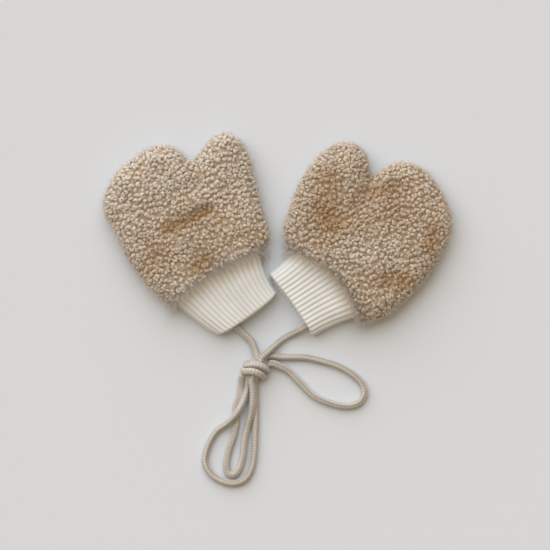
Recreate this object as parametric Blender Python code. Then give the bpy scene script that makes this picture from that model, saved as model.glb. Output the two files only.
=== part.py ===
"""A pair of small mittens laid flat, with bouclé pile hands, ribbed knit cuffs and one knotted cord.

Units are metres, +Z is up and z = 0 is the surface that the pair lies on. +Y points to the fingertips and +X
to the right-hand mitten. The origin lies on that surface, under the middle of the box round both mittens
without the cord.

Each hand is two cloth shells, an upper and an under panel, that meet in a seam round the outline. Each cuff
is a flattened tube, sewn into the hand's mouth. Outlines are given from the middle of the palm, so that a
hand keeps its shape wherever it is laid.
"""

import math
from collections import namedtuple

import bmesh
import bpy
import numpy as np

MM = 0.001

# Sizes of the cloth
SEAM_GAP = 0.3 * MM
PILE_WALL = 5.0 * MM
MOUTH_WALL = 2.6 * MM
CUFF_WALL = 2.3 * MM
RIB_DEPTH = 0.7 * MM
RIBS = 42

# Heights above the surface
SEAM_HEIGHT = 9.0 * MM
PALM_TOP = 20.0 * MM
MOUTH_TOP = 18.0 * MM

# How far in from the outline the two panels take to round over
UPPER_ROUND = 15.0 * MM
UNDER_ROUND = 9.0 * MM

# The thin wall at the wrist, and how far it takes to reach the full pile
MOUTH_DEPTH = 6.0 * MM
MOUTH_BLEND = 14.0 * MM
MOUTH_CLEARANCE = 0.5 * MM

# How finely the shapes are cut up
SIDE_STEPS = 54
MOUTH_STEPS = 16
CORNER_STEPS = 3
PANEL_RINGS = (0.30, 0.55, 0.75, 0.88, 0.96, 1.0)
CUFF_POINTS = 2 * RIBS
LINE_SAMPLES = 16
SECTION_SAMPLES = 160

# The cord, and the knot that it is tied in
CORD_DIAMETER = 4.2 * MM
CORD_STEP = 18.0 * MM
CORD_TURN = math.radians(38.0)
KNOT_HALF_LENGTH = 5.5 * MM
KNOT_CORE_HALF_WIDTH = 6.0 * MM
KNOT_CORE_HALF_HEIGHT = 2.7 * MM
KNOT_BAND = 3.9 * MM
KNOT_CREASE = 0.62
KNOT_FACE = 0.92
KNOT_SIDES = 28
KNOT_STATIONS = 13
SLOT_RUN = 3.0 * MM

Point = namedtuple("Point", "across up")
Fold = namedtuple("Fold", "across_1 up_1 across_2 up_2 depth half_width")
Cuff = namedtuple(
    "Cuff", "hem_x hem_y hem_half_width hem_turn hem_bow mouth_bow lean waist_first waist_second"
)
Section = namedtuple("Section", "along spread top under edge roll rib")
Stop = namedtuple("Stop", "x y z")

# One row per point of the hand's outline, in mm from the middle of the palm, from the wrist's first corner
# round the fingers or thumb to its other corner
LEFT_OUTLINE = (
    Point(-17.4, -58.8), Point(-26.5, -54.6), Point(-35.5, -45.5), Point(-48.0, -28.5), Point(-59.3, -6.4),
    Point(-66.6, 8.5), Point(-65.3, 20.5), Point(-57.0, 35.5), Point(-44.0, 46.8), Point(-32.5, 54.0),
    Point(-20.5, 55.2), Point(-10.5, 49.8), Point(-4.0, 44.2), Point(3.5, 50.9), Point(10.5, 59.6),
    Point(21.0, 64.2), Point(31.2, 59.8), Point(38.2, 49.0), Point(43.2, 30.0), Point(48.7, 7.9),
    Point(53.2, -9.0), Point(47.5, -20.2),
)
RIGHT_OUTLINE = (
    Point(-48.8, -6.6), Point(-53.9, 5.0), Point(-50.2, 20.5), Point(-43.0, 40.5), Point(-33.2, 55.1),
    Point(-22.5, 65.6), Point(-11.5, 69.9), Point(-2.5, 69.3), Point(5.0, 62.5), Point(7.8, 53.5),
    Point(9.4, 46.2), Point(14.0, 48.3), Point(22.5, 54.0), Point(33.0, 56.2), Point(45.5, 51.8),
    Point(57.0, 39.5), Point(65.2, 23.5), Point(67.6, 11.5), Point(65.4, 1.5), Point(58.0, -13.5),
    Point(47.5, -29.5), Point(34.5, -43.2), Point(23.0, -53.0), Point(12.5, -57.4), Point(2.2, -57.0),
)
LEFT_PALM = (-58.7, 8.6)
RIGHT_PALM = (58.0, -4.4)

# One row per soft hollow in the upper panel, in mm from the middle of the palm
LEFT_FOLDS = (
    Fold(-4.0, 44.0, 2.0, 26.0, 3.2, 6.0),
    Fold(-16.0, 7.0, 10.0, -5.0, 1.2, 6.0),
    Fold(-30.0, -30.0, 8.0, -34.0, 1.0, 7.0),
)
RIGHT_FOLDS = (
    Fold(9.4, 46.0, -6.0, 20.0, 3.2, 6.0),
    Fold(22.0, 38.0, 6.0, 30.0, 1.4, 7.0),
    Fold(52.0, 4.0, 34.0, -22.0, 1.0, 8.0),
)

# Where each cuff's hem lies, in mm and degrees. A positive bow bends the edge towards the fingers, the lean
# is how far the underside's hem lies past the upper side's, and the waists are how far each long edge is
# drawn in half-way.
LEFT_CUFF = Cuff(-22.7, -57.3, 26.0, 34.9, -1.4, 5.0, 0.0, -0.7, 2.4)
RIGHT_CUFF = Cuff(10.0, -50.4, 26.4, -54.9, 1.2, 9.5, 1.6, 1.2, 1.7)

# One row per section of a cuff, in mm. Along goes from the hem, 0, to the mouth of the hand, 1, and on into
# it. Roll is how far the outer side is drawn in at the hem's fold, and rib the share of the full rib depth.
CUFF_SECTIONS = (
    Section(0.00, 0.0, 12.0, 0.0, 5.6, 0.9, 0.3),
    Section(0.05, 0.0, 12.1, 0.0, 5.6, 0.0, 1.0),
    Section(0.35, 0.2, 12.6, 0.0, 6.2, 0.0, 1.0),
    Section(0.66, 0.5, 13.6, 0.0, 7.2, 0.0, 1.0),
    Section(0.87, 0.8, 14.8, 0.9, 8.4, 0.0, 0.9),
    Section(0.98, 0.0, 15.0, 2.95, 9.0, 0.0, 0.0),
    Section(1.12, 0.0, 14.9, 3.05, 9.0, 0.0, 0.0),
)
CUFF_UPPER_ROUND = 11.5 * MM
CUFF_UNDER_ROUND = 8.0 * MM

# The underside's roll as a share of the upper side's, and how far along the cuff its lean has faded out
UNDER_ROLL = 0.5
LEAN_REACH = 0.5

# The middle of the knot and its turn, from above. Its own across and along axes are turned with it.
KNOT_X, KNOT_Y, KNOT_TURN = -15.3, -97.6, -16.0

# Where the cord lies, in mm: one row per stop, z being the height of its middle. A stretch that starts or
# ends in the knot has a slot there instead: (side, across, z), with side 1 towards the mittens, -1 away.
LEAD_LEFT = (
    Stop(-36.6, -56.6, 4.9), Stop(-32.6, -62.8, 4.9), Stop(-30.0, -66.4, 4.5), Stop(-25.5, -70.8, 2.5),
    Stop(-19.0, -77.4, 2.2), Stop(-16.2, -84.4, 3.0),
)
LEAD_RIGHT = (
    Stop(28.6, -60.4, 4.9), Stop(20.4, -66.2, 4.9), Stop(15.6, -69.0, 4.6), Stop(9.6, -72.0, 2.6),
    Stop(3.0, -76.0, 2.2), Stop(-3.6, -81.4, 4.2), Stop(-8.4, -85.8, 7.6),
)
LOOP_RIGHT = (
    Stop(-6.0, -87.8, 2.2), Stop(5.0, -88.6, 2.2), Stop(19.5, -88.8, 2.2), Stop(32.0, -91.4, 2.2),
    Stop(44.4, -95.4, 2.2), Stop(55.0, -101.8, 2.2), Stop(61.3, -108.8, 2.2), Stop(62.5, -115.0, 2.2),
    Stop(58.8, -121.2, 2.2), Stop(49.6, -123.8, 2.2), Stop(37.0, -121.4, 2.2), Stop(25.1, -115.8, 2.2),
    Stop(16.1, -107.0, 2.2), Stop(7.4, -98.4, 2.4), Stop(1.4, -95.4, 3.8), Stop(-3.7, -95.4, 6.0),
)
LOOP_OUTER = (
    Stop(-22.0, -110.5, 2.4), Stop(-23.4, -116.4, 3.8), Stop(-26.2, -123.4, 6.7), Stop(-30.8, -130.8, 6.8),
    Stop(-36.8, -136.6, 3.6), Stop(-43.6, -141.4, 2.2), Stop(-48.8, -149.4, 2.2), Stop(-51.6, -157.2, 2.2),
    Stop(-52.2, -164.6, 2.2), Stop(-48.4, -172.2, 2.2), Stop(-40.8, -177.4, 2.2), Stop(-31.6, -179.4, 2.2),
    Stop(-23.4, -176.2, 2.2), Stop(-18.8, -168.4, 2.2), Stop(-16.9, -157.2, 2.2), Stop(-16.2, -144.2, 2.2),
    Stop(-15.8, -132.0, 2.2), Stop(-15.6, -121.0, 2.2), Stop(-16.0, -111.0, 2.2),
)
LOOP_INNER = (
    Stop(-25.3, -101.9, 4.6), Stop(-26.4, -107.6, 2.6), Stop(-27.6, -116.4, 2.2), Stop(-30.2, -124.2, 2.2),
    Stop(-29.6, -134.0, 2.2), Stop(-31.6, -145.2, 2.2), Stop(-35.2, -155.6, 2.2), Stop(-37.0, -166.4, 2.2),
    Stop(-35.6, -172.2, 2.2), Stop(-31.8, -173.2, 2.2), Stop(-28.2, -169.6, 2.2), Stop(-25.2, -160.6, 2.2),
    Stop(-23.8, -148.4, 2.2), Stop(-21.6, -138.0, 2.6), Stop(-19.0, -129.0, 5.0), Stop(-17.8, -119.6, 6.9),
    Stop(-18.0, -111.0, 7.2),
)
SLOTS = {
    "lead_left": (1, -2.0, 4.4),
    "lead_right": (1, 0.9, 8.6),
    "loop_right": (1, 3.2, 3.4),
    "loop_outer_start": (-1, -3.9, 3.4),
    "loop_outer_end": (-1, 1.2, 3.4),
    "loop_inner_end": (-1, -1.2, 7.6),
}

# Colour and roughness of each finish
FINISHES = {
    "boucle_pile": ((0.52, 0.42, 0.32), 0.95),
    "rib_knit": ((0.80, 0.76, 0.69), 0.9),
    "cord_knit": ((0.47, 0.41, 0.35), 0.9),
}


def clear_scene():
    """Removes every object of the open file."""
    for thing in list(bpy.data.objects):
        bpy.data.objects.remove(thing, do_unlink=True)


def make_finish(name):
    """A plain Principled material in the finish's colour."""
    colour, roughness = FINISHES[name]
    material = bpy.data.materials.new(name)
    material.use_nodes = True
    shader = material.node_tree.nodes["Principled BSDF"]
    shader.inputs["Base Color"].default_value = (*colour, 1.0)
    shader.inputs["Roughness"].default_value = roughness
    shader.inputs["Metallic"].default_value = 0.0
    return material


def unit(vectors):
    """Vectors scaled to length 1."""
    return vectors / np.linalg.norm(vectors, axis=-1, keepdims=True)


def smooth_line(rows, count=None, step=None):
    """A centripetal Catmull-Rom line through the rows, read at places evenly spaced along its length."""
    knots = np.array(rows, float)
    knots = np.vstack([2 * knots[0] - knots[1], knots, 2 * knots[-1] - knots[-2]])
    pieces = []
    for p0, p1, p2, p3 in zip(knots, knots[1:], knots[2:], knots[3:]):
        t1 = np.linalg.norm(p1 - p0) ** 0.5
        t2 = t1 + np.linalg.norm(p2 - p1) ** 0.5
        t3 = t2 + np.linalg.norm(p3 - p2) ** 0.5
        t = np.linspace(t1, t2, LINE_SAMPLES, endpoint=False)[:, None]
        a1 = (t1 - t) / t1 * p0 + t / t1 * p1
        a2 = (t2 - t) / (t2 - t1) * p1 + (t - t1) / (t2 - t1) * p2
        a3 = (t3 - t) / (t3 - t2) * p2 + (t - t2) / (t3 - t2) * p3
        b1 = (t2 - t) / t2 * a1 + t / t2 * a2
        b2 = (t3 - t) / (t3 - t1) * a2 + (t - t1) / (t3 - t1) * a3
        pieces.append((t2 - t) / (t2 - t1) * b1 + (t - t1) / (t2 - t1) * b2)
    line = np.vstack(pieces + [knots[-2:-1]])
    walked = np.concatenate([[0.0], np.cumsum(np.linalg.norm(np.diff(line, axis=0), axis=1))])
    places = np.linspace(0.0, walked[-1], (count or max(2, round(walked[-1] / step))) + 1)
    return np.column_stack([np.interp(places, walked, column) for column in line.T])


def reach_from(points, line):
    """The shortest distance from each point to a line of straight pieces, seen from above."""
    start, run = line[:-1, :2], np.diff(line[:, :2], axis=0)
    offset = points[:, None, :2] - start[None]
    share = np.clip((offset * run).sum(-1) / (run * run).sum(-1), 0.0, 1.0)
    return np.linalg.norm(offset - share[..., None] * run, axis=-1).min(axis=1)


def dome(share):
    """A quarter circle's height: 0 at the outline, 1 from share 1 inwards."""
    share = np.clip(share, 0.0, 1.0)
    return np.sqrt(1.0 - (1.0 - share) ** 2)


def blend(share):
    """A smooth step from 0 to 1."""
    share = np.clip(share, 0.0, 1.0)
    return share * share * (3.0 - 2.0 * share)


def hollow_depth(points, folds, palm):
    """How deep the soft folds are under each point: a trough with round ends along each row's line."""
    depth = np.zeros(len(points))
    for fold in folds:
        ends = np.array([(fold.across_1, fold.up_1), (fold.across_2, fold.up_2)]) * MM + palm
        away = reach_from(points, ends) / (fold.half_width * MM)
        depth += fold.depth * MM * np.exp(-away * away)
    return depth


def mesh_object(name, points, faces, finish, collection):
    """A mesh object of one closed surface, with its faces turned outwards."""
    mesh = bpy.data.meshes.new(name)
    mesh.from_pydata([tuple(map(float, p)) for p in points], [], faces)
    surface = bmesh.new()
    surface.from_mesh(mesh)
    bmesh.ops.recalc_face_normals(surface, faces=surface.faces)
    surface.to_mesh(mesh)
    surface.free()
    mesh.materials.append(finish)
    mesh.shade_smooth()
    mesh.set_sharp_from_angle(angle=math.radians(50))
    piece = bpy.data.objects.new(name, mesh)
    collection.objects.link(piece)
    return piece


def ring_faces(first, second, count):
    """Quads between two closed rings of the same number of points."""
    return [
        (first + i, first + (i + 1) % count, second + (i + 1) % count, second + i)
        for i in range(count)
    ]


def hand_rims(outline, palm, mouth_bow):
    """A hand's outline: the closed rim and the same one wall in, its two side lines, and the mouth's line.

    The mouth's points are closer together near its corners, where the cloth turns up most.
    """
    side = smooth_line(np.array(outline) * MM + palm, count=SIDE_STEPS)
    chord = side[-1] - side[0]
    along = unit(chord)
    inward = unit(np.array([-chord[1], chord[0]]))
    if (inward * (palm - side[0])).sum() < 0:
        inward = -inward
    edge = np.gradient(side, axis=0)
    normal = unit(np.column_stack([edge[:, 1], -edge[:, 0]]))
    if (normal[SIDE_STEPS // 2] * (palm - side[SIDE_STEPS // 2])).sum() < 0:
        normal = -normal
    from_ends = np.minimum(np.arange(SIDE_STEPS + 1), np.arange(SIDE_STEPS, -1, -1)) / CORNER_STEPS
    share = blend(from_ends)[:, None]
    along_mouth = np.where(np.arange(SIDE_STEPS + 1)[:, None] * 2 < SIDE_STEPS, along, -along)
    direction = unit(share * normal + (1.0 - share) * along_mouth)
    wall = MOUTH_WALL + (PILE_WALL - MOUTH_WALL) * blend(from_ends / 2.0)
    inner_side = side + direction * wall[:, None]

    steps = 0.5 - 0.5 * np.cos(np.pi * np.arange(1, MOUTH_STEPS) / MOUTH_STEPS)
    rise = (4.0 * steps * (1.0 - steps) * mouth_bow * MM)[:, None] * inward
    mouth = side[-1] + steps[:, None] * (side[0] - side[-1]) + rise
    inner_mouth = inner_side[-1] + steps[:, None] * (inner_side[0] - inner_side[-1]) + rise
    mouth_line = np.vstack([side[-1], mouth, side[0]])
    return np.vstack([side, mouth]), np.vstack([inner_side, inner_mouth]), side, inner_side, mouth_line


def panel_grid(rim, palm):
    """The palm's middle and the rings round it, out to the rim."""
    middle = np.asarray(palm)[None]
    return np.vstack([middle] + [middle + (rim - middle) * share for share in PANEL_RINGS])


def panel_faces(first, count):
    """A fan round the middle and quads between the rings."""
    faces = [(first, first + 1 + i, first + 1 + (i + 1) % count) for i in range(count)]
    for ring in range(len(PANEL_RINGS) - 1):
        low = first + 1 + ring * count
        faces += ring_faces(low, low + count, count)
    return faces


def hand_panel(name, outline, palm_mm, folds, mouth_bow, upper, finish, collection):
    """One cloth shell of a hand, rounded over at the outline and open at the wrist.

    The outer side is a dome of quarter-circle edges over the outline, and the inner side the same, one wall
    in. The under panel lies flat on the surface and only its edge turns up to the seam.
    """
    palm = np.array(palm_mm) * MM
    rim, inner_rim, side, inner_side, mouth_line = hand_rims(outline, palm, mouth_bow)
    outer, inner = panel_grid(rim, palm), panel_grid(inner_rim, palm)
    levels = []
    for points, line, inside in ((outer, side, False), (inner, inner_side, True)):
        into = blend((reach_from(points, mouth_line) - MOUTH_DEPTH) / MOUTH_BLEND)
        wall = (MOUTH_WALL + (PILE_WALL - MOUTH_WALL) * into) if inside else 0.0
        edge = reach_from(points, line)
        if upper:
            base = SEAM_HEIGHT + SEAM_GAP / 2
            top = MOUTH_TOP + (PALM_TOP - MOUTH_TOP) * into - hollow_depth(points, folds, palm) * into
            levels.append(base + (top - wall - base) * dome(edge / (UPPER_ROUND - wall)))
        else:
            base = SEAM_HEIGHT - SEAM_GAP / 2
            levels.append(base - (base - wall) * dome(edge / (UNDER_ROUND - 0.5 * wall)))
    points = np.vstack([np.column_stack([outer, levels[0]]), np.column_stack([inner, levels[1]])])
    count, half = len(rim), len(outer)
    faces = panel_faces(0, count) + panel_faces(half, count)
    faces += ring_faces(half - count, 2 * half - count, count)
    return mesh_object(name, points, faces, finish, collection)


def tube_section(half_width, top, under, edge, upper_round, under_round):
    """Points (across, height) evenly spaced round a flattened tube's section, from its left edge on."""
    turn = np.linspace(0.0, np.pi, SECTION_SAMPLES)
    across = -half_width * np.cos(turn)
    inset = half_width - np.abs(across)
    over = edge + (top - edge) * dome(inset / upper_round)
    below = edge - (edge - under) * dome(inset / under_round)
    loop = np.vstack([np.column_stack([across, over]), np.column_stack([across, below])[::-1][1:]])
    walked = np.concatenate([[0.0], np.cumsum(np.linalg.norm(np.diff(loop, axis=0), axis=1))])
    places = np.arange(CUFF_POINTS) / CUFF_POINTS * walked[-1]
    return np.column_stack([np.interp(places, walked, column) for column in loop.T])


def cuff_rings(outline, palm_mm, cuff, inside):
    """The rings of a cuff's outer or inner side, from the hem into the hand's mouth."""
    palm = np.array(palm_mm) * MM
    corners = np.array([outline[0], outline[-1]]) * MM + palm
    if corners[0, 0] > corners[1, 0]:
        corners = corners[::-1]
    mouth_middle = corners.mean(axis=0)
    mouth_half = np.linalg.norm(corners[1] - corners[0]) / 2
    mouth_turn = math.atan2(*(corners[1] - corners[0])[::-1])
    hem_middle = np.array([cuff.hem_x, cuff.hem_y]) * MM
    wall = CUFF_WALL if inside else 0.0
    rings = []
    for row in CUFF_SECTIONS:
        share = row.along
        middle = hem_middle + share * (mouth_middle - hem_middle)
        turn = math.radians(cuff.hem_turn) + min(share, 1.0) * (mouth_turn - math.radians(cuff.hem_turn))
        across_way = np.array([math.cos(turn), math.sin(turn)])
        into_way = np.array([-math.sin(turn), math.cos(turn)])
        if (into_way * (mouth_middle - hem_middle)).sum() < 0:
            into_way = -into_way
        tight = mouth_half - MOUTH_WALL - MOUTH_CLEARANCE
        hem_half = cuff.hem_half_width * MM
        half = hem_half + min(share, 1.0) * (tight - hem_half) + row.spread * MM
        halfway = max(0.0, 4.0 * share * (1.0 - share)) * MM
        half -= halfway * (cuff.waist_first + cuff.waist_second) / 2
        middle = middle + halfway * (cuff.waist_first - cuff.waist_second) / 2 * across_way
        drawn = 0.0 if inside else row.roll * MM
        section = tube_section(
            half - wall - drawn, row.top * MM - wall - drawn, row.under * MM + wall + drawn * UNDER_ROLL,
            row.edge * MM, CUFF_UPPER_ROUND - wall, CUFF_UNDER_ROUND - wall,
        )
        if not inside:
            slope = np.roll(section, -1, axis=0) - np.roll(section, 1, axis=0)
            outward = unit(np.column_stack([-slope[:, 1], slope[:, 0]]))
            ridge = np.where(np.arange(CUFF_POINTS) % 2 == 0, 1.0, 0.0)[:, None]
            lowest = section[:, 1].min()
            section = section + outward * ridge * RIB_DEPTH * row.rib
            section[:, 1] = np.maximum(section[:, 1], lowest)
        span = hem_half + min(share, 1.0) * (mouth_half - hem_half)
        bow = cuff.hem_bow + min(share, 1.0) * (cuff.mouth_bow - cuff.hem_bow)
        shift = bow * MM * (1.0 - (section[:, 0] / span) ** 2)
        shift -= cuff.lean * MM * max(0.0, 1.0 - share / LEAN_REACH) * (1.0 - section[:, 1] / (row.top * MM))
        plan = middle + section[:, :1] * across_way + shift[:, None] * into_way
        rings.append(np.column_stack([plan, section[:, 1]]))
    return rings


def make_cuff(name, outline, palm_mm, cuff, finish, collection):
    """A ribbed tube: ribbed outer rings and plain inner rings, closed at the hem and at the sewn end."""
    outer = cuff_rings(outline, palm_mm, cuff, inside=False)
    inner = cuff_rings(outline, palm_mm, cuff, inside=True)
    rings = outer + inner[::-1]
    faces = []
    for i in range(len(rings)):
        faces += ring_faces(i * CUFF_POINTS, (i + 1) % len(rings) * CUFF_POINTS, CUFF_POINTS)
    return mesh_object(name, np.vstack(rings), faces, finish, collection)


def knot_place(across, along, z):
    """A place given in the knot's own turned axes, in mm, as a stop on the surface's axes."""
    turn = math.radians(KNOT_TURN)
    x = KNOT_X + across * math.cos(turn) - along * math.sin(turn)
    y = KNOT_Y + across * math.sin(turn) + along * math.cos(turn)
    return Stop(x, y, z)


def slot_stops(slot):
    """The two stops of a strand at the knot: a short run away from it, and at the knot's face."""
    side, across, z = SLOTS[slot]
    face = (KNOT_HALF_LENGTH + SEAM_GAP) / MM
    return knot_place(across, side * (face + SLOT_RUN / MM), z), knot_place(across, side * face, z)


def spare_points(line):
    """Fewer points along a fine line: one for each cord step walked, and more where it turns."""
    runs = np.diff(line, axis=0)
    way = unit(runs)
    turned = np.arccos(np.clip((way[1:] * way[:-1]).sum(axis=1), -1.0, 1.0))
    cost = np.linalg.norm(runs, axis=1) / CORD_STEP + np.concatenate([[0.0], turned]) / CORD_TURN
    spent = np.concatenate([[0.0], np.cumsum(cost)])
    places = np.linspace(0.0, spent[-1], math.ceil(spent[-1]) + 1)
    return np.column_stack([np.interp(places, spent, column) for column in line.T])


def make_cord(name, stops, finish, collection):
    """A round tube along a smooth line through the stops, nowhere lower than the surface."""
    line = spare_points(smooth_line(np.array(stops) * MM, step=0.5 * MM))
    line[:, 2] = np.maximum(line[:, 2], CORD_DIAMETER / 2)
    curve = bpy.data.curves.new(name, "CURVE")
    curve.dimensions = "3D"
    spline = curve.splines.new("POLY")
    spline.points.add(len(line) - 1)
    for point, place in zip(spline.points, line):
        point.co = (*place, 1.0)
    curve.bevel_depth = CORD_DIAMETER / 2
    curve.bevel_resolution = 2
    curve.use_fill_caps = True
    curve.materials.append(finish)
    piece = bpy.data.objects.new(name, curve)
    collection.objects.link(piece)
    return piece


def make_knot(name, finish, collection):
    """The knot's outer shape: two turns of cord side by side, wound round a flat core of strands.

    Each ring is an oval across the knot. From face to face the rings swell and shrink twice, once for each
    turn.
    """
    along = np.linspace(-KNOT_HALF_LENGTH, KNOT_HALF_LENGTH, KNOT_STATIONS)
    from_middle = np.abs(np.abs(along) - KNOT_HALF_LENGTH / 2) / (KNOT_HALF_LENGTH / 2)
    swell = KNOT_BAND * (KNOT_CREASE + (1.0 - KNOT_CREASE) * np.sqrt(1.0 - from_middle ** 2))
    swell[[0, -1]] *= KNOT_FACE
    around = np.linspace(0.0, 2 * np.pi, KNOT_SIDES, endpoint=False)
    lift = KNOT_CORE_HALF_HEIGHT + KNOT_BAND
    points = []
    for y, band in zip(along, swell):
        across = (KNOT_CORE_HALF_WIDTH + band) * np.cos(around)
        height = lift + (KNOT_CORE_HALF_HEIGHT + band) * np.sin(around)
        points += [knot_place(a / MM, y / MM, h / MM) for a, h in zip(across, height)]
    faces = []
    for station in range(KNOT_STATIONS - 1):
        faces += ring_faces(station * KNOT_SIDES, (station + 1) * KNOT_SIDES, KNOT_SIDES)
    faces.append(tuple(range(KNOT_SIDES)))
    faces.append(tuple(range((KNOT_STATIONS - 1) * KNOT_SIDES, KNOT_STATIONS * KNOT_SIDES)))
    return mesh_object(name, np.array(points) * MM, faces, finish, collection)


def build():
    clear_scene()
    pair = bpy.data.collections.new("pair_of_mittens")
    bpy.context.scene.collection.children.link(pair)
    pile, rib, cord = (make_finish(name) for name in ("boucle_pile", "rib_knit", "cord_knit"))
    for side, outline, palm, folds, cuff in (
        ("left", LEFT_OUTLINE, LEFT_PALM, LEFT_FOLDS, LEFT_CUFF),
        ("right", RIGHT_OUTLINE, RIGHT_PALM, RIGHT_FOLDS, RIGHT_CUFF),
    ):
        hand_panel(f"{side}_hand_upper", outline, palm, folds, cuff.mouth_bow, True, pile, pair)
        hand_panel(f"{side}_hand_under", outline, palm, folds, cuff.mouth_bow, False, pile, pair)
        make_cuff(f"{side}_cuff", outline, palm, cuff, rib, pair)
    into_knot = {name: slot_stops(name) for name in SLOTS}
    outer_start, outer_end = into_knot["loop_outer_start"][::-1], into_knot["loop_outer_end"]
    make_cord("cord_lead_left", (*LEAD_LEFT, *into_knot["lead_left"]), cord, pair)
    make_cord("cord_lead_right", (*LEAD_RIGHT, *into_knot["lead_right"]), cord, pair)
    make_cord("cord_loop_right", (*into_knot["loop_right"][::-1], *LOOP_RIGHT), cord, pair)
    make_cord("cord_loop_outer", (*outer_start, *LOOP_OUTER, *outer_end), cord, pair)
    make_cord("cord_loop_inner", (*LOOP_INNER, *into_knot["loop_inner_end"]), cord, pair)
    make_knot("cord_knot", cord, pair)


build()
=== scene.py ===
# %% [markdown]
# # A pair of small mittens with a knotted cord
# The pair lies flat on a pale surface, seen from straight above. Each hand is two panels of bouclé pile
# cloth, each cuff is a tube of rib knitting, and one knitted cord runs from cuff to cuff and is tied in a
# loose bow. The imported model gives every piece its place and size, so the first step is to load it.

# %% Load the imported model
import math
from collections import namedtuple

import bpy
import numpy as np
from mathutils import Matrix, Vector


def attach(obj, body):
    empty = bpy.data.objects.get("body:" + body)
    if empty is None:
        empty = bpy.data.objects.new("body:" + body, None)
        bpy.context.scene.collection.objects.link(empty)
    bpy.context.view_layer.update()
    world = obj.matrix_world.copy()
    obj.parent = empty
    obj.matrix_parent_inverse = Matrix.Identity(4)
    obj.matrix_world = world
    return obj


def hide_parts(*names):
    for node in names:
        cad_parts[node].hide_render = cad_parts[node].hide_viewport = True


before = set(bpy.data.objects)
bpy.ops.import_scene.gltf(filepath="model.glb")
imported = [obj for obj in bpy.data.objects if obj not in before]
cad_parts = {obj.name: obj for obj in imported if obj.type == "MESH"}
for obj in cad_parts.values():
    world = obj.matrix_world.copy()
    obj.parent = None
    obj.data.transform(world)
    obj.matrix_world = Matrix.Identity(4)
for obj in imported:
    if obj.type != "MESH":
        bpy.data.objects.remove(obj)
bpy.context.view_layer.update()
MM = 0.001
print("nodes:", sorted(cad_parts))

# %% [markdown]
# ## The camera
# The photograph looks straight down on the pair. The camera could be orthographic, but a real lens has some
# perspective, so a long lens is used from 2.4 m, where the height of the cloth hardly spreads it. 550 pixels
# of 0.72 mm make a picture 396 mm wide, which sets the lens.

# %% The camera
PICTURE_WIDTH = 0.396
CAMERA_HEIGHT = 2.4
PICTURE_MIDDLE = (-0.0019, -0.0296)
SENSOR_MM = 36.0

camera_data = bpy.data.cameras.new("camera")
camera_data.sensor_width = SENSOR_MM
camera_data.lens = SENSOR_MM * CAMERA_HEIGHT / PICTURE_WIDTH
camera = bpy.data.objects.new("camera", camera_data)
camera.location = (*PICTURE_MIDDLE, CAMERA_HEIGHT)
bpy.context.scene.collection.objects.link(camera)
bpy.context.scene.camera = camera
print("lens:", round(camera_data.lens, 1), "mm")

# %% [markdown]
# ## Helpers for surfaces
# Every piece here is a grid of points worked out as whole arrays. A smooth line through a few given points is
# the start of each: the outline of a hand, the edge of a cuff, the route of the cord. A Bézier curve object
# could do the same, but an array can be measured and offset before it becomes a mesh.

# %% Smooth lines and grids
LINE_STEPS = 24
SHORTEST = 1e-12


def unit(vectors):
    """Vectors scaled to length 1."""
    return vectors / np.maximum(np.linalg.norm(vectors, axis=-1, keepdims=True), SHORTEST)


def blend(share):
    """A smooth step from 0 to 1: 3s² - 2s³."""
    share = np.clip(share, 0.0, 1.0)
    return share * share * (3.0 - 2.0 * share)


def dome(share):
    """A quarter circle's height, √(1 - (1 - s)²): 0 at the outline, 1 from share 1 inwards."""
    share = np.clip(share, 0.0, 1.0)
    return np.sqrt(1.0 - (1.0 - share) ** 2)


def line_length(line):
    """The length of a line of straight pieces."""
    return float(np.linalg.norm(np.diff(line, axis=0), axis=1).sum())


def walk(line):
    """How far along a line each of its points lies."""
    return np.concatenate([[0.0], np.cumsum(np.linalg.norm(np.diff(line, axis=0), axis=1))])


def read_line(line, walked, places):
    """A line's points at other distances along it."""
    return np.column_stack([np.interp(places, walked, column) for column in line.T])


def smooth_line(rows, count=None, step=None):
    """A centripetal Catmull-Rom line through the rows, read at places evenly spaced along its length.

    Between two rows it is a blend of the lines through their neighbours, each weighted by the square root of
    the distance.
    """
    knots = np.array(rows, float)
    knots = np.vstack([2 * knots[0] - knots[1], knots, 2 * knots[-1] - knots[-2]])
    p0, p1, p2, p3 = (knots[i:len(knots) - 3 + i, None] for i in range(4))
    t1 = np.linalg.norm(p1 - p0, axis=-1, keepdims=True) ** 0.5
    t2 = t1 + np.linalg.norm(p2 - p1, axis=-1, keepdims=True) ** 0.5
    t3 = t2 + np.linalg.norm(p3 - p2, axis=-1, keepdims=True) ** 0.5
    t = t1 + (t2 - t1) * np.linspace(0.0, 1.0, LINE_STEPS, endpoint=False)[None, :, None]

    def between(first, second, early, late):
        return (late - t) / (late - early) * first + (t - early) / (late - early) * second

    a1, a2, a3 = between(p0, p1, 0.0, t1), between(p1, p2, t1, t2), between(p2, p3, t2, t3)
    b1, b2 = between(a1, a2, 0.0, t2), between(a2, a3, t1, t3)
    line = between(b1, b2, t1, t2)
    line = np.vstack([line.reshape(-1, knots.shape[1]), knots[-2:-1]])
    walked = walk(line)
    pieces = count or max(2, round(walked[-1] / step))
    return read_line(line, walked, np.linspace(0.0, walked[-1], pieces + 1))


def grid_faces(rows, columns):
    """Quads between the rows of a grid whose columns run round and close."""
    row, column = np.meshgrid(np.arange(rows - 1), np.arange(columns), indexing="ij")
    low, beside = row * columns + column, row * columns + (column + 1) % columns
    return np.stack([low, beside, beside + columns, low + columns], axis=-1).reshape(-1, 4)


def fan_faces(ring, pole):
    """Triangles from a closed ring of point numbers to one point."""
    return np.column_stack([ring, np.roll(ring, -1), np.full(len(ring), pole)])


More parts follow.
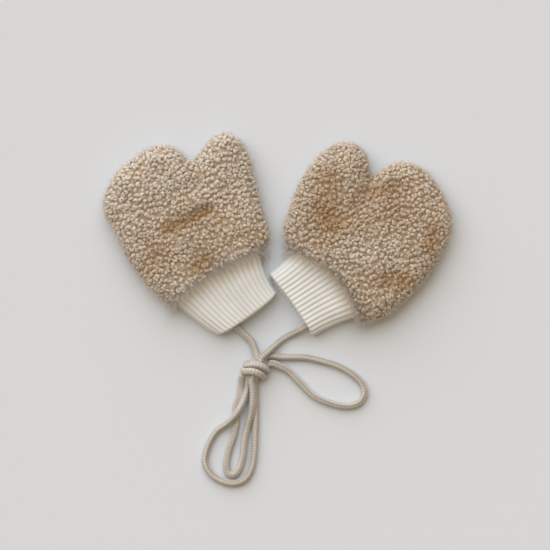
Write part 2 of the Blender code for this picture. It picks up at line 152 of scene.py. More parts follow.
def closed_shell(rings, poles):
    """The points and faces of a surface of rings that closes in a pole at each of its two ends."""
    rows, columns = rings.shape[:2]
    count = rows * columns
    faces = [
        grid_faces(rows, columns),
        fan_faces(np.arange(columns)[::-1], count),
        fan_faces(np.arange(count - columns, count), count + 1),
    ]
    return np.vstack([rings.reshape(-1, 3), poles]), faces


def add_object(name, data):
    """An object at the origin, put in the scene."""
    thing = bpy.data.objects.new(name, data)
    bpy.context.scene.collection.objects.link(thing)
    return thing


def make_piece(name, points, face_sets, material, values):
    """A mesh object at the origin, from a table of points and tables of faces with 3 to 7 corners each.

    If the closed surface has a negative volume, found by adding up the pyramids from the origin to each face,
    it is inside out and its faces are turned round. Values are named numbers kept at each point, or one
    number for all.
    """
    volume = 0.0
    for faces in face_sets:
        for corner in range(1, faces.shape[1] - 1):
            a, b, c = (points[faces[:, k]] for k in (0, corner, corner + 1))
            volume += np.einsum("ij,ij->", a, np.cross(b, c)) / 6.0
    if volume < 0.0:
        face_sets = [faces[:, ::-1] for faces in face_sets]
    mesh = bpy.data.meshes.new(name)
    mesh.vertices.add(len(points))
    mesh.vertices.foreach_set("co", np.ascontiguousarray(points, np.float32).ravel())
    corners = np.concatenate([faces.ravel() for faces in face_sets]).astype(np.int32)
    sizes = np.concatenate([np.full(len(faces), faces.shape[1]) for faces in face_sets])
    mesh.loops.add(len(corners))
    mesh.loops.foreach_set("vertex_index", corners)
    mesh.polygons.add(len(sizes))
    mesh.polygons.foreach_set("loop_start", (np.cumsum(sizes) - sizes).astype(np.int32))
    mesh.update(calc_edges=True)
    mesh.validate()
    for key, numbers in values.items():
        numbers = np.broadcast_to(numbers, len(points)).astype(np.float32)
        mesh.attributes.new(key, "FLOAT", "POINT").data.foreach_set("value", numbers)
    mesh.shade_smooth()
    mesh.materials.append(material)
    piece = add_object(name, mesh)
    triangles = int((sizes - 2).sum())
    print(f"{name}: {triangles} triangles, {abs(volume) * 1e6:.1f} cm3")
    return piece


# %% [markdown]
# ## Two effects that all the yarns share
# Knitting yarn and pile loops are both fuzzy and unevenly dyed. Image textures could show that, but noise
# made by nodes stays sharp at any distance. Each effect is a node group, built once: one roughens the surface
# with fine fibres, the other changes the shade slowly, and each material sets its own scale and strength.

# %% The fibre and dye groups
FIBRE_DETAIL, DYE_DETAIL = 3.0, 2.0


def new_group(name, inputs, outputs):
    """An empty shader node group with named number inputs and its output sockets."""
    group = bpy.data.node_groups.new(name, "ShaderNodeTree")
    for label, value in inputs.items():
        socket = group.interface.new_socket(label, in_out="INPUT", socket_type="NodeSocketFloat")
        socket.default_value = value
    for label, kind in outputs.items():
        group.interface.new_socket(label, in_out="OUTPUT", socket_type=kind)
    return group, group.nodes.new("NodeGroupInput"), group.nodes.new("NodeGroupOutput")


def set_inputs(node, values):
    """Sets numbers and colours on a node's own sockets, by their labels."""
    for label, value in values.items():
        node.inputs[label].default_value = value


def object_noise(nodes, links, scale, detail):
    """A noise texture on the object's own coordinates, its scale taken from a socket."""
    place = nodes.new("ShaderNodeTexCoord")
    noise = nodes.new("ShaderNodeTexNoise")
    set_inputs(noise, {"Detail": detail})
    links.new(place.outputs["Object"], noise.inputs["Vector"])
    links.new(scale, noise.inputs["Scale"])
    return noise


fibre_group, fibre_in, fibre_out = new_group(
    "yarn_fibres", {"Scale": 2500.0, "Height": 0.0002},
    {"Shade": "NodeSocketFloat", "Normal": "NodeSocketVector"},
)
fibre_noise = object_noise(fibre_group.nodes, fibre_group.links, fibre_in.outputs["Scale"], FIBRE_DETAIL)
fibre_bump = fibre_group.nodes.new("ShaderNodeBump")
fibre_group.links.new(fibre_noise.outputs["Fac"], fibre_bump.inputs["Height"])
fibre_group.links.new(fibre_in.outputs["Height"], fibre_bump.inputs["Distance"])
fibre_group.links.new(fibre_bump.outputs["Normal"], fibre_out.inputs["Normal"])
fibre_group.links.new(fibre_noise.outputs["Fac"], fibre_out.inputs["Shade"])

dye_group, dye_in, dye_out = new_group("uneven_dye", {"Scale": 60.0}, {"Shade": "NodeSocketFloat"})
dye_noise = object_noise(dye_group.nodes, dye_group.links, dye_in.outputs["Scale"], DYE_DETAIL)
dye_group.links.new(dye_noise.outputs["Fac"], dye_out.inputs["Shade"])
print("groups:", [group.name for group in bpy.data.node_groups])

# %% [markdown]
# ## A recipe for the yarns
# Yarn lets a little light in, and its hollows are painted darker than its tips, as painted shade. Each yarn
# could have a material of its own, but they differ only in a few numbers, so one function makes them all. It
# blends a deep colour, the painted shade, to a raised one by a number stored on the mesh, multiplies in a
# warm colour by a second number, painted warm shade with a little real tint, shifts that a little with the
# dye and the fibres, and adds sheen, the soft glow that fuzz has where light grazes it.

# %% The yarn material
Yarn = namedtuple("Yarn", "deep raised warm sheen glow fibre_scale fibre_height dye_scale dye_share")
GLOW_DEPTH, GLOW_SHARES = 2.6 * MM, (1.0, 0.92, 0.84)
NOISE_LOW, NOISE_HIGH = 0.3, 0.7
FIBRE_SHARE = 0.6
DEEP_ROUGHNESS, RAISED_ROUGHNESS, SHEEN_ROUGHNESS = 1.0, 0.88, 0.5
YARN_SPECULAR = 0.25


def mix_colours(nodes, links, share, first, second, kind="MIX"):
    """A colour mix node: share, first and second are each a socket or a plain value."""
    mix = nodes.new("ShaderNodeMix")
    mix.data_type = "RGBA"
    mix.blend_type = kind
    for value, label in ((share, "Factor"), (first, "A"), (second, "B")):
        socket = mix.inputs[label]
        if isinstance(value, bpy.types.NodeSocket):
            links.new(value, socket)
        else:
            socket.default_value = value if isinstance(value, float) else (*value, 1.0)
    return mix.outputs["Result"]


def ramp(nodes, links, source, low, high, out_low, out_high):
    """A Map Range node: source from low..high to out_low..out_high."""
    remap = nodes.new("ShaderNodeMapRange")
    links.new(source, remap.inputs["Value"])
    set_inputs(remap, {"From Min": low, "From Max": high, "To Min": out_low, "To Max": out_high})
    return remap.outputs["Result"]


def make_yarn(name, yarn):
    """A fuzzy yarn: painted shade by the mesh's "raised" and "warm" numbers, with fibres, dye and sheen."""
    material = bpy.data.materials.new(name)
    material.use_nodes = True
    nodes, links = material.node_tree.nodes, material.node_tree.links
    shader = nodes["Principled BSDF"]
    raised, warm = nodes.new("ShaderNodeAttribute"), nodes.new("ShaderNodeAttribute")
    raised.attribute_name, warm.attribute_name = "raised", "warm"
    fibres, dye = nodes.new("ShaderNodeGroup"), nodes.new("ShaderNodeGroup")
    fibres.node_tree, dye.node_tree = fibre_group, dye_group
    set_inputs(fibres, {"Scale": yarn.fibre_scale, "Height": yarn.fibre_height})
    set_inputs(dye, {"Scale": yarn.dye_scale})
    # Painted shade: the deep colour where the raised number is low, and the warm colour multiplied in by the
    # warm number.
    colour = mix_colours(nodes, links, raised.outputs["Fac"], yarn.deep, yarn.raised)
    colour = mix_colours(nodes, links, warm.outputs["Fac"], colour, yarn.warm, "MULTIPLY")
    spread = yarn.dye_share
    for source, share in ((dye.outputs["Shade"], spread), (fibres.outputs["Shade"], FIBRE_SHARE * spread)):
        shade = ramp(nodes, links, source, NOISE_LOW, NOISE_HIGH, 1.0 - share, 1.0 + share)
        grey = nodes.new("ShaderNodeCombineColor")
        for channel in ("Red", "Green", "Blue"):
            links.new(shade, grey.inputs[channel])
        colour = mix_colours(nodes, links, 1.0, colour, grey.outputs["Color"], "MULTIPLY")
    links.new(colour, shader.inputs["Base Color"])
    roughness = ramp(nodes, links, raised.outputs["Fac"], 0.0, 1.0, DEEP_ROUGHNESS, RAISED_ROUGHNESS)
    links.new(roughness, shader.inputs["Roughness"])
    links.new(fibres.outputs["Normal"], shader.inputs["Normal"])
    set_inputs(shader, {
        "Specular IOR Level": YARN_SPECULAR, "Sheen Weight": yarn.sheen, "Sheen Roughness": SHEEN_ROUGHNESS,
        "Subsurface Weight": yarn.glow, "Subsurface Radius": GLOW_SHARES, "Subsurface Scale": GLOW_DEPTH,
    })
    return material


# Deep is each yarn's painted shade in its hollows. Warm is multiplied in as painted warm shade, and on the
# cuffs partly for stray pile fibres.
YARNS = {
    "cord_knit": Yarn(
        deep=(0.18, 0.155, 0.13), raised=(0.765, 0.735, 0.71), warm=(0.8, 0.72, 0.62), sheen=0.3, glow=0.0,
        fibre_scale=2600.0, fibre_height=0.0002, dye_scale=90.0, dye_share=0.07,
    ),
    "rib_knit": Yarn(
        deep=(0.74, 0.745, 0.75), raised=(0.885, 0.925, 0.98), warm=(0.86, 0.77, 0.63), sheen=0.3, glow=0.0,
        fibre_scale=2600.0, fibre_height=0.0002, dye_scale=60.0, dye_share=0.04,
    ),
    "boucle_pile": Yarn(
        deep=(0.645, 0.515, 0.385), raised=(0.735, 0.675, 0.628), warm=(0.67, 0.505, 0.315), sheen=0.12,
        glow=0.75, fibre_scale=2400.0, fibre_height=0.00018, dye_scale=70.0, dye_share=0.08,
    ),
}
finishes = {name: make_yarn(name, yarn) for name, yarn in YARNS.items()}
print("finishes:", list(finishes))

# %% [markdown]
# ## The route of the cord
# One knitted cord leaves the left cuff, passes through the knot, makes the outer loop, comes back through the
# knot, makes the right loop, winds twice round the knot, makes the inner loop and leaves through the knot for
# the right cuff. A rope simulation could tie it, but it would not end up as in the photograph, so the points
# were chosen along the cord there. Where it crosses itself it rises over the lower strand in a low hump. The
# points in the knot are given on the knot's own turned axes.

# %% The route's points, in millimetres
KNOT_MIDDLE = (-15.3, -97.6)
KNOT_TURN = math.radians(-16.0)

LEAD_LEFT = (
    (-36.6, -56.6, 4.9), (-32.6, -62.8, 4.9), (-30.0, -66.4, 4.5), (-25.5, -70.8, 2.5),
    (-19.0, -77.4, 2.2), (-16.2, -84.4, 3.0),
)
LOOP_OUTER = (
    (-22.0, -110.5, 2.4), (-23.4, -116.4, 3.8), (-26.2, -123.4, 6.7), (-30.8, -130.8, 6.8),
    (-36.8, -136.6, 3.6), (-43.6, -141.4, 2.2), (-48.8, -149.4, 2.2), (-51.6, -157.2, 2.2),
    (-52.2, -164.6, 2.2), (-48.4, -172.2, 2.2), (-40.8, -177.4, 2.2), (-31.6, -179.4, 2.2),
    (-23.4, -176.2, 2.2), (-18.8, -168.4, 2.2), (-16.9, -157.2, 2.2), (-16.2, -144.2, 2.2),
    (-15.8, -132.0, 2.2), (-15.6, -121.0, 2.2), (-16.0, -111.0, 2.2),
)
LOOP_RIGHT = (
    (-6.0, -87.8, 2.2), (5.0, -88.6, 2.2), (19.5, -88.8, 2.2), (32.0, -91.4, 2.2),
    (44.4, -95.4, 2.2), (55.0, -101.8, 2.2), (61.3, -108.8, 2.2), (62.5, -115.0, 2.2),
    (58.8, -121.2, 2.2), (49.6, -123.8, 2.2), (37.0, -121.4, 2.2), (25.1, -115.8, 2.2),
    (16.1, -107.0, 2.2), (7.4, -98.4, 2.4), (1.4, -95.2, 3.4), (-4.0, -93.0, 4.2),
)
LOOP_INNER = (
    (-25.3, -101.9, 4.6), (-26.4, -107.6, 2.6), (-27.6, -116.4, 2.2), (-30.2, -124.2, 2.2),
    (-29.6, -134.0, 2.2), (-31.6, -145.2, 2.2), (-35.2, -155.6, 2.2), (-37.0, -166.4, 2.2),
    (-35.6, -172.2, 2.2), (-31.8, -173.2, 2.2), (-28.2, -169.6, 2.2), (-25.2, -160.6, 2.2),
    (-23.8, -148.4, 2.2), (-21.6, -138.0, 2.6), (-19.0, -129.0, 5.0), (-17.8, -119.6, 6.9),
    (-18.0, -111.0, 7.2),
)
LEAD_RIGHT = (
    (28.6, -60.4, 4.9), (20.4, -66.2, 4.9), (15.6, -69.0, 4.6), (9.6, -72.0, 2.6),
    (3.0, -76.0, 2.2), (-3.6, -81.4, 4.2), (-8.4, -85.8, 7.6),
)

# %% The way through the knot, across and along its own axes, in millimetres
THROUGH_FROM_LEFT = (
    (-2.0, 8.8, 4.4), (-2.0, 5.8, 4.4), (-2.6, 2.5, 5.3), (-3.2, -1.5, 5.4),
    (-3.9, -5.8, 5.0), (-3.9, -9.2, 3.4),
)
THROUGH_TO_RIGHT_LOOP = (
    (1.2, -9.2, 3.4), (1.2, -5.8, 5.0), (1.9, -2.0, 5.4), (2.6, 2.0, 5.4),
    (3.2, 5.8, 5.0), (3.2, 9.2, 3.4),
)
TWO_TURNS = (
    (6.0, 5.2, 2.8), (0.0, 4.4, 2.2), (-5.4, 3.4, 2.4), (-8.0, 2.0, 5.2),
    (-7.0, 1.3, 8.6), (-3.8, 2.8, 11.4), (0.0, 3.6, 12.4), (3.6, 3.4, 11.4),
    (6.2, 2.4, 8.8), (7.4, 1.2, 5.2), (5.2, 0.4, 2.4), (0.0, 0.0, 2.2),
    (-5.6, -1.0, 2.4), (-8.6, -2.8, 5.2), (-7.4, -3.2, 8.8), (-4.0, -2.0, 11.4),
    (-0.4, -1.5, 12.2), (2.8, -1.9, 11.2), (5.4, -2.9, 8.4), (6.3, -3.8, 5.0),
    (4.2, -4.6, 2.6), (0.0, -4.8, 2.2), (-5.4, -5.0, 3.0),
)
THROUGH_TO_RIGHT = (
    (-1.2, -8.8, 7.6), (-1.2, -5.8, 7.6), (-0.8, -2.0, 8.3), (0.2, 2.0, 8.5),
    (0.9, 5.8, 8.6), (0.9, 8.8, 8.6),
)


def from_knot(points):
    """Points on the knot's own axes turned and moved to where the knot lies."""
    across, along, height = np.array(points).T
    x = KNOT_MIDDLE[0] + across * math.cos(KNOT_TURN) - along * math.sin(KNOT_TURN)
    y = KNOT_MIDDLE[1] + across * math.sin(KNOT_TURN) + along * math.cos(KNOT_TURN)
    return np.column_stack([x, y, height])


CORD_STEP = 0.45 * MM
route = MM * np.vstack([
    LEAD_LEFT, from_knot(THROUGH_FROM_LEFT), LOOP_OUTER, from_knot(THROUGH_TO_RIGHT_LOOP), LOOP_RIGHT,
    from_knot(TWO_TURNS), LOOP_INNER, from_knot(THROUGH_TO_RIGHT), np.array(LEAD_RIGHT)[::-1],
])
cord_path = smooth_line(route, step=CORD_STEP)

# %% [markdown]
# ## The knitting of the cord
# The cord is knitted as a narrow tube, so columns of V-shaped stitches run along it. A bump map would be
# cheaper, but the edge of so thin a cord would stay smooth. Here the stitches are in the mesh: a profile of
# seven columns is carried along the path, and each ring is a little deeper where two grains meet. The frame
# that carries it turns as little as it can from ring to ring, so the columns don't spiral by accident.

# %% The cord
CORD_RADIUS = 2.1 * MM
CORD_SIDES = 32
CORD_COLUMNS = 7
CORD_STITCH = 2.0 * MM
CORD_RELIEF, CORD_FULLNESS = 0.26, 1.22
CORD_SWAY, SWAY_LENGTH, TWIST_LENGTH = 0.35, 0.055, 0.30
CORD_LOWEST = 0.02 * MM
GRAIN_ENDS, GRAIN_MIDDLE = 0.3, 0.7


def knit_relief(across, along):
    """The height of plain knitting, 0 to 1. Across counts columns of stitches and along counts their rows.

    In each column two rows of grains lean together as a V. A grain's height is the product of two half
    circles: one over its width, and one over its length, which is shifted along by half its distance from the
    column's middle.
    """
    from_middle = np.abs(2.0 * np.mod(across, 1.0) - 1.0)
    width = np.sqrt(np.clip(1.0 - (2.0 * from_middle - 1.0) ** 2, 0.0, 1.0))
    length = np.sqrt(np.clip(1.0 - (2.0 * np.mod(along + 0.5 * from_middle, 1.0) - 1.0) ** 2, 0.0, 1.0))
    return width * (GRAIN_ENDS + GRAIN_MIDDLE * length)


def carried_frame(path):
    """Two side directions at each point of a path, turning as little as they can from point to point."""
    ahead = unit(np.gradient(path, axis=0))
    side = np.empty_like(path)
    side[0] = np.cross(ahead[0], (0.0, 0.0, 1.0))
    for i in range(1, len(path)):
        side[i] = side[i - 1] - ahead[i] * side[i - 1].dot(ahead[i])
        side[i] /= np.linalg.norm(side[i])
    return unit(side), np.cross(ahead, unit(side))


def cord_surface(path):
    """The cord as rings round its path: centre + r·(cos a·side + sin a·up), r having the knitting's relief.

    The columns turn slowly along the cord by a twist of sway·sin(s/l) + s/L at the distance s.
    """
    side, up = carried_frame(path)
    walked = np.arange(len(path)) * CORD_STEP
    turn = np.arange(CORD_SIDES) / CORD_SIDES
    twist = CORD_SWAY * np.sin(walked / SWAY_LENGTH) + walked / TWIST_LENGTH
    relief = knit_relief(CORD_COLUMNS * turn[None] + np.zeros((len(path), 1)), walked[:, None] / CORD_STITCH)
    radius = CORD_RADIUS * (CORD_FULLNESS - CORD_RELIEF * (1.0 - relief))
    angle = 2.0 * np.pi * turn[None] + twist[:, None]
    ring = np.cos(angle)[..., None] * side[:, None] + np.sin(angle)[..., None] * up[:, None]
    points = path[:, None] + radius[..., None] * ring
    points[..., 2] = np.maximum(points[..., 2], CORD_LOWEST)
    return points, relief


cord_rings, cord_relief = cord_surface(cord_path)
cord_points, cord_faces = closed_shell(cord_rings, cord_path[[0, -1]])
# Painted shade: the knitting's relief makes the colour darkest in the grooves between the grains.
cord = make_piece(
    "knitted_cord", cord_points, cord_faces, finishes["cord_knit"],
    {"raised": np.concatenate([cord_relief.ravel(), [0.0, 0.0]]), "warm": 0.0},
)
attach(cord, "root")
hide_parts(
    "cord_lead_left", "cord_lead_right", "cord_loop_right", "cord_loop_outer", "cord_loop_inner",
    "cord_knot",
)

# %% [markdown]
# ## The shape of the hands
# Each hand is an outline traced from the photograph, seen from above. The upper panel is a low dome
# over it: full in the middle, rounding over in a quarter circle to the seam, and open at the wrist. Soft
# hollows run where the thumb meets the palm, and the pile is painted warmer and darker in some of them and
# in broad patches, as painted shade. The under panel is the same cut, flat where it rests. A cloth simulation
# could puff the panels up, but the photograph shows where each hollow lies, so they are given one by one.

# %% The hands' outlines and hollows, in millimetres from the middle of each palm
Hand = namedtuple("Hand", "name palm outline mouth_bow folds warm")
# Painted shade: a hand's warm number makes its whole pile warmer and darker, and a fold's last number does
# the same along the fold, or paints the pile lighter where it is negative.
Fold = namedtuple("Fold", "across_1 up_1 across_2 up_2 depth half_width warmth")
LEFT_HAND = Hand(
    name="left", palm=(-58.7, 8.6), mouth_bow=5.0, warm=0.0,
    outline=(
        (-17.4, -58.8), (-26.5, -54.6), (-35.5, -45.5), (-48.0, -28.5), (-59.3, -6.4), (-66.6, 8.5),
        (-65.3, 20.5), (-57.0, 35.5), (-44.0, 46.8), (-32.5, 54.0), (-20.5, 55.2), (-10.5, 49.8),
        (-4.0, 44.2), (3.5, 50.9), (10.5, 59.6), (21.0, 64.2), (31.2, 59.8), (38.2, 49.0), (43.2, 30.0),
        (48.7, 7.9), (53.2, -9.0), (47.5, -20.2),
    ),
    folds=(
        Fold(-4.0, 44.0, 2.0, 26.0, 3.2, 6.0, 0.0), Fold(-19.0, -6.0, 8.0, 8.0, 2.4, 5.5, 0.75),
        Fold(0.0, -34.0, 8.0, -28.0, 1.6, 5.0, 0.8), Fold(-33.0, -34.0, -27.0, -24.0, 0.8, 6.5, 0.4),
        Fold(-30.0, -20.0, 20.0, -6.0, 0.0, 22.0, 0.3),
    ),
)
RIGHT_HAND = Hand(
    name="right", palm=(58.0, -4.4), mouth_bow=9.5, warm=0.25,
    outline=(
        (-48.8, -6.6), (-53.9, 5.0), (-50.2, 20.5), (-43.0, 40.5), (-33.2, 55.1), (-22.5, 65.6),
        (-11.5, 69.9), (-2.5, 69.3), (5.0, 62.5), (7.8, 53.5), (9.4, 46.2), (14.0, 48.3), (22.5, 54.0),
        (33.0, 56.2), (45.5, 51.8), (57.0, 39.5), (65.2, 23.5), (67.6, 11.5), (65.4, 1.5), (58.0, -13.5),
        (47.5, -29.5), (34.5, -43.2), (23.0, -53.0), (12.5, -57.4), (2.2, -57.0),
    ),
    folds=(
        Fold(9.4, 46.0, 0.0, 22.0, 3.4, 6.0, 0.1), Fold(-22.0, 42.0, -18.0, 12.0, 1.0, 10.0, 0.45),
        Fold(9.0, 34.0, 24.0, 37.0, 1.8, 6.0, 0.6), Fold(51.0, -6.0, 54.0, 6.0, 1.0, 5.5, 0.6),
        Fold(20.0, -30.0, 34.0, -30.0, 1.6, 7.0, 0.6), Fold(20.0, -9.0, -12.0, -12.0, -1.0, 9.0, -0.25),
        Fold(-30.0, 22.0, -22.0, 8.0, 0.8, 8.0, 0.35), Fold(-4.0, 14.0, 28.0, 20.0, 0.0, 11.0, 0.3),
    ),
)
hands = {hand.name: hand for hand in (LEFT_HAND, RIGHT_HAND)}
print("outlines:", {name: f"{len(hand.outline)} points" for name, hand in hands.items()})

SEAM_GAP, SEAM_HEIGHT, PALM_TOP, MOUTH_TOP = 0.3 * MM, 9.0 * MM, 20.0 * MM, 18.0 * MM
PILE_WALL, MOUTH_WALL = 5.0 * MM, 2.6 * MM
UPPER_ROUND, UNDER_ROUND = 15.0 * MM, 9.0 * MM
MOUTH_DEPTH, MOUTH_BLEND = 6.0 * MM, 14.0 * MM


# %% The panels' surfaces
SIDE_STEPS, MOUTH_STEPS, PANEL_RINGS = 150, 44, 34
FIRST_RING = 0.012
SWELL_HEIGHT = 0.45 * MM
ACROSS_WAVE, UP_WAVE, SLANT_WAVE = 0.0051, 0.0047, 0.0065
BENT_BY, BENT_OVER, LEANS_OVER, UP_START, SLANT_START = 1.3, 0.009, 0.013, 1.7, 0.6


def palm_of(hand):
    """The middle of a hand's palm, in metres."""
    return np.array(hand.palm) * MM


def reach_from(points, line):
    """The shortest distance, seen from above, from each point to a line of straight pieces."""
    start, run = line[:-1, :2], np.diff(line[:, :2], axis=0)
    offset = points[:, None, :2] - start[None]
    share = np.clip((offset * run).sum(-1) / (run * run).sum(-1), 0.0, 1.0)
    return np.linalg.norm(offset - share[..., None] * run, axis=-1).min(axis=1)


def hand_lines(hand):
    """A hand's closed rim, its side line, and its mouth's line, bowed towards the fingers as 4s(1 - s)."""
    palm = palm_of(hand)
    side = smooth_line(np.array(hand.outline) * MM + palm, count=SIDE_STEPS)
    chord = side[-1] - side[0]
    inward = unit(np.array([-chord[1], chord[0]]))
    inward = inward * np.sign((inward * (palm - side[0])).sum())
    steps = 0.5 - 0.5 * np.cos(np.pi * np.arange(1, MOUTH_STEPS) / MOUTH_STEPS)
    bow = 4.0 * steps * (1.0 - steps) * hand.mouth_bow * MM
    mouth = side[-1] - steps[:, None] * chord + bow[:, None] * inward
    return np.vstack([side, mouth]), side, np.vstack([side[-1:], mouth, side[:1]])


def fold_depth(points, hand):
    """How deep the soft folds are, a trough e^(-d²/w²) along each fold's line, and the painted warm shade."""
    depth, warmth = np.zeros(len(points)), np.full(len(points), hand.warm)
    for fold in hand.folds:
        ends = np.array([(fold.across_1, fold.up_1), (fold.across_2, fold.up_2)]) * MM + palm_of(hand)
        away = reach_from(points, ends) / (fold.half_width * MM)
        depth += fold.depth * MM * np.exp(-away * away)
        warmth += fold.warmth * np.exp(-away * away)
    return depth, warmth


def softness(points):
    """Slow uneven swells of the cloth, -1 to 1: the mean of three crossing waves about 30 mm long."""
    x, y = points.T
    across = np.sin(x / ACROSS_WAVE + BENT_BY * np.sin(y / BENT_OVER))
    up = np.sin(y / UP_WAVE + x / LEANS_OVER + UP_START)
    return (across + up + np.sin((x - y) / SLANT_WAVE + SLANT_START)) / 3.0


def panel_surface(hand, upper):
    """A panel's outer side as rings from the palm's middle to the rim, with its thickness and painted warm
    shade.

    Ring k lies at share sin(k/n · 90°) of the way out, so that the rings crowd where the edge turns down.
    """
    rim, side, mouth = hand_lines(hand)
    palm = palm_of(hand)
    share = np.sin(np.linspace(FIRST_RING, 1.0, PANEL_RINGS) * np.pi / 2)
    plan = palm + (rim - palm) * share[:, None, None]
    flat = plan.reshape(-1, 2)
    into = blend((reach_from(flat, mouth) - MOUTH_DEPTH) / MOUTH_BLEND)
    edge = reach_from(flat, side)
    wall = MOUTH_WALL + (PILE_WALL - MOUTH_WALL) * into
    swell = SWELL_HEIGHT * softness(flat) * into * blend(edge / UPPER_ROUND)
    depth, warmth = fold_depth(flat, hand)
    depth *= into
    if upper:
        base = SEAM_HEIGHT + SEAM_GAP / 2
        top = MOUTH_TOP + (PALM_TOP - MOUTH_TOP) * into - depth + swell
        height = base + (top - base) * dome(edge / UPPER_ROUND)
    else:
        base = SEAM_HEIGHT - SEAM_GAP / 2
        height = base - base * dome(edge / UNDER_ROUND) + np.maximum(swell, 0.0)
    points = np.column_stack([flat, height]).reshape(*plan.shape[:2], 3)
    return points, wall.reshape(plan.shape[:2]), warmth.reshape(plan.shape[:2])


def outward(points, middle):
    """The surface's directions away from the middle, from the cross product of its two grid directions."""
    along, around = np.gradient(points, axis=0), np.roll(points, -1, axis=1) - np.roll(points, 1, axis=1)
    normal = unit(np.cross(along, around))
    return normal * np.sign(((points - middle) * normal).sum(-1).mean())


# %% [markdown]
# ## The backing cloth of the hands
# Under the loops there is a woven or knitted backing, which shows in the gaps between them. It is painted
# darker and warmer than the loops, as painted shade in the gaps. Each panel's backing is a thin closed shell:
# an outer side nearly half the wall's depth below the pile's tips, and an inner side that the hand touches.
# It could be a Solidify modifier on one sheet, but the wall gets thinner towards the cuff, so both sides are
# worked out. This shell is the piece that replaces the CAD panel, and the loops stand on it.

# %% The backing cloth
Panel = namedtuple("Panel", "piece outer normal wall warmth")
PILE_SHARE, INNER_SHARE = 0.46, 0.96
INNER_STEP = 3
# Painted shade in the gaps: the backing takes little of the raised colour, and some extra warmth.
BACKING_RAISED, BACKING_WARM_SHADE = 0.2, 0.2


def panel_name(hand, upper):
    """The CAD name of one of a hand's two panels."""
    return f"{hand.name}_hand_{'upper' if upper else 'under'}"


def backing(hand, upper):
    """A panel's closed shell, outer rings then inner rings, with a pole at the middle of each side."""
    outer, wall, warmth = panel_surface(hand, upper)
    middle = np.array([*palm_of(hand), SEAM_HEIGHT])
    normal = outward(outer, middle)
    low = outer - normal * (PILE_SHARE * wall)[..., None]
    deep = (outer - normal * (INNER_SHARE * wall)[..., None])[::-INNER_STEP]
    poles = np.array([low[0].mean(axis=0), deep[-1].mean(axis=0)])
    points, faces = closed_shell(np.concatenate([low, deep]), poles)
    # Painted shade: the backing is mostly the deep colour, and warmer, as shade between the loops.
    gap_shade = {"raised": BACKING_RAISED, "warm": hand.warm + BACKING_WARM_SHADE}
    name = panel_name(hand, upper)
    piece = make_piece(f"{name}_backing", points, faces, finishes["boucle_pile"], gap_shade)
    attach(piece, "root")
    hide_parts(name)
    return Panel(piece, outer, normal, wall, warmth)


panels = {(name, upper): backing(hands[name], upper) for name in hands for upper in (True, False)}

# %% [markdown]
# ## The bouclé loops
# Bouclé yarn is spun with too much of one strand, so it stands up in small curls. Hair particles could cover
# the cloth, but these loops are thick, lumpy and few, so each is a short curled tube of its own. Random
# places are thrown on each panel and kept only far from each other, which gives an even but not regular
# cover. Then one rule bends all tubes of a panel at once, each with its own size, turn and lean.

# %% Places for the loops
THROWS = 8.0


def throw_places(points, each, rng, favour=None):
    """Random places by area on a grid surface, one for each so much area: three corners and their weights.

    Favour, given for each point of the grid, throws more places where it is high.
    """
    rows, columns = points.shape[:2]
    quads, flat = grid_faces(rows, columns), points.reshape(-1, 3)
    corners = np.vstack([quads[:, [0, 1, 2]], quads[:, [0, 2, 3]]])
    a, b, c = (flat[corners[:, k]] for k in range(3))
    size = np.linalg.norm(np.cross(b - a, c - a), axis=1)
    number = int(size.sum() / 2 / each)
    size = size if favour is None else size * favour.ravel()[corners].mean(axis=1)
    chosen = rng.choice(len(corners), number, p=size / size.sum())
    first, second = rng.random((2, len(chosen)))
    over = first + second > 1.0
    first, second = np.where(over, 1.0 - first, first), np.where(over, 1.0 - second, second)
    return corners[chosen], np.column_stack([1.0 - first - second, first, second])


def read_at(grid, corners, weights):
    """A grid's values, one or several at each point, read at thrown places."""
    return (grid.reshape(grid.shape[0] * grid.shape[1], -1)[corners] * weights[..., None]).sum(axis=1)


def scatter(points, spacing, rng):
    """Places that are evenly spread, each at least the spacing from the others.

    THROWS places are thrown to each square of the spacing. The next one kept is always the one farthest from
    all that are kept already, until that is nearer than the spacing.
    """
    corners, weights = throw_places(points, spacing ** 2 / THROWS, rng)
    place = read_at(points, corners, weights)
    kept, farthest, room = [], 0, np.full(len(place), np.inf)
    while room[farthest] > spacing:
        kept.append(farthest)
        room = np.minimum(room, np.linalg.norm(place - place[farthest], axis=1))
        farthest = int(room.argmax())
    return corners[kept], weights[kept]


# %% The curled tubes
Pile = namedtuple("Pile", "spacing steps sides radius curl")
UPPER_PILE = Pile(2.85 * MM, 10, 7, 1.5 * MM, 1.3 * MM)
UNDER_PILE = Pile(3.2 * MM, 9, 5, 1.5 * MM, 1.4 * MM)
LEAST_ROOM, LOOP_FOOT = 2.0 * MM, 0.3 * MM
LOOP_LEAN = (5.0, 55.0)
LOOP_TURNS, LOOP_SIZE, LOOP_THICK = (0.7, 1.15), (0.8, 1.25), (0.8, 1.15)
LOOP_WIDE, LOOP_NARROW, LOOP_RISE = (0.9, 1.3), (0.75, 1.1), (0.5, 1.6)
LOOP_FILL = (0.97, 1.07)
SPIRAL_IN = 0.45
LUMP_HEIGHT, LUMP_PHASE, LUMP_WAVES = 0.12, (0.0, 6.28), (6.0, 12.0)
END_POWER, END_THICKNESS = 6, 0.35
NUDGE = 1e-4
PRESSED_BELOW = 0.5 * MM
# Painted shade on the loops: the deep colour at their feet turns to the raised colour up their height, and
# each loop also gets a random tone of its own.
TIP_FROM, TIP_SPAN = 0.6 * MM, 2.4 * MM
DEEP_SHADE, TIP_SHADE, TONE_SHADE = 0.42, 0.36, 0.16
TONE_SHAPE, WARMTH_SPREAD = 2.2, 0.08
PILE_SEED, FUZZ_SEED, SEED_STEP = 100, 300, 10


